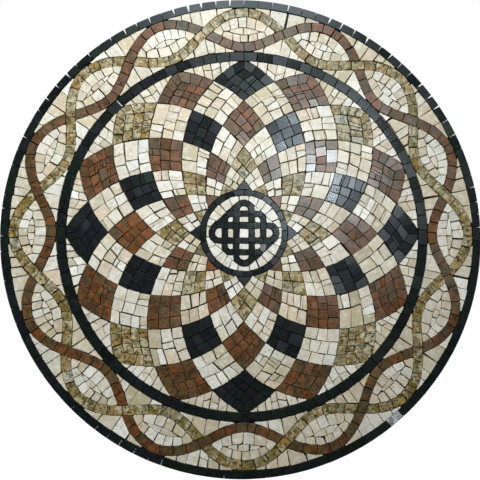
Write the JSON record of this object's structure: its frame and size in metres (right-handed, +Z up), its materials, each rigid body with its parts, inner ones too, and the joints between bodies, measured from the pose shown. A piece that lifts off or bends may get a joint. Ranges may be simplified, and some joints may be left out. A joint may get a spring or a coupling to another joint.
{
  "type": "round marble mosaic panel",
  "caption": "Round wall panel of cut marble mosaic: a wheel of curved lozenges and a small knot, framed by black courses and a band of two interlaced ribbons.",
  "frame": {"origin": "centre of the flat back face, the face that is fixed to the wall", "axes": "+Z up, the face with the picture towards -Y, the back towards +Y"},
  "size_m": [0.61, 0.0102, 0.61],
  "materials": {
    "ivory_marble": "honed cream limestone marble, cut in small tesserae, each a slightly different warm cream",
    "rust_marble": "honed red-brown marble, mottled from brick red to grey brown",
    "gold_marble": "honed tan and golden breccia marble with dark specks",
    "black_marble": "honed near-black marble with a green tinge and a few pale veins",
    "backing": "white glass fibre net bonded with dried adhesive, and the dark bed seen in the joints"
  },
  "bodies": {
    "root": {"backing_net": "backing", "centre_knot": "black_marble", "centre_ring": "black_marble", "gold_ribbon": "gold_marble", "inner_border": "black_marble", "inner_lozenge_01": "gold_marble", "inner_lozenge_02": "rust_marble", "inner_lozenge_03": "gold_marble", "inner_lozenge_04": "rust_marble", "inner_lozenge_05": "gold_marble", "inner_lozenge_06": "rust_marble", "inner_lozenge_07": "gold_marble", "inner_lozenge_08": "rust_marble", "inner_lozenge_09": "gold_marble", "inner_lozenge_10": "rust_marble", "inner_lozenge_11": "gold_marble", "inner_lozenge_12": "rust_marble", "inner_lozenge_13": "gold_marble", "inner_lozenge_14": "rust_marble", "inner_lozenge_15": "gold_marble", "inner_lozenge_16": "rust_marble", "ivory_ground": "ivory_marble", "middle_lozenge_01": "rust_marble", "middle_lozenge_02": "black_marble", "middle_lozenge_03": "rust_marble", "middle_lozenge_04": "black_marble", "middle_lozenge_05": "rust_marble", "middle_lozenge_06": "black_marble", "middle_lozenge_07": "rust_marble", "middle_lozenge_08": "black_marble", "middle_lozenge_09": "rust_marble", "middle_lozenge_10": "black_marble", "middle_lozenge_11": "rust_marble", "middle_lozenge_12": "black_marble", "middle_lozenge_13": "rust_marble", "middle_lozenge_14": "black_marble", "middle_lozenge_15": "rust_marble", "middle_lozenge_16": "black_marble", "outer_border": "black_marble", "petal_01": "black_marble", "petal_02": "rust_marble", "petal_03": "gold_marble", "petal_04": "rust_marble", "petal_05": "black_marble", "petal_06": "rust_marble", "petal_07": "gold_marble", "petal_08": "rust_marble", "petal_09": "black_marble", "petal_10": "rust_marble", "petal_11": "gold_marble", "petal_12": "rust_marble", "petal_13": "black_marble", "petal_14": "rust_marble", "petal_15": "gold_marble", "petal_16": "rust_marble", "rust_ribbon": "rust_marble"}
  },
  "joints": []
}
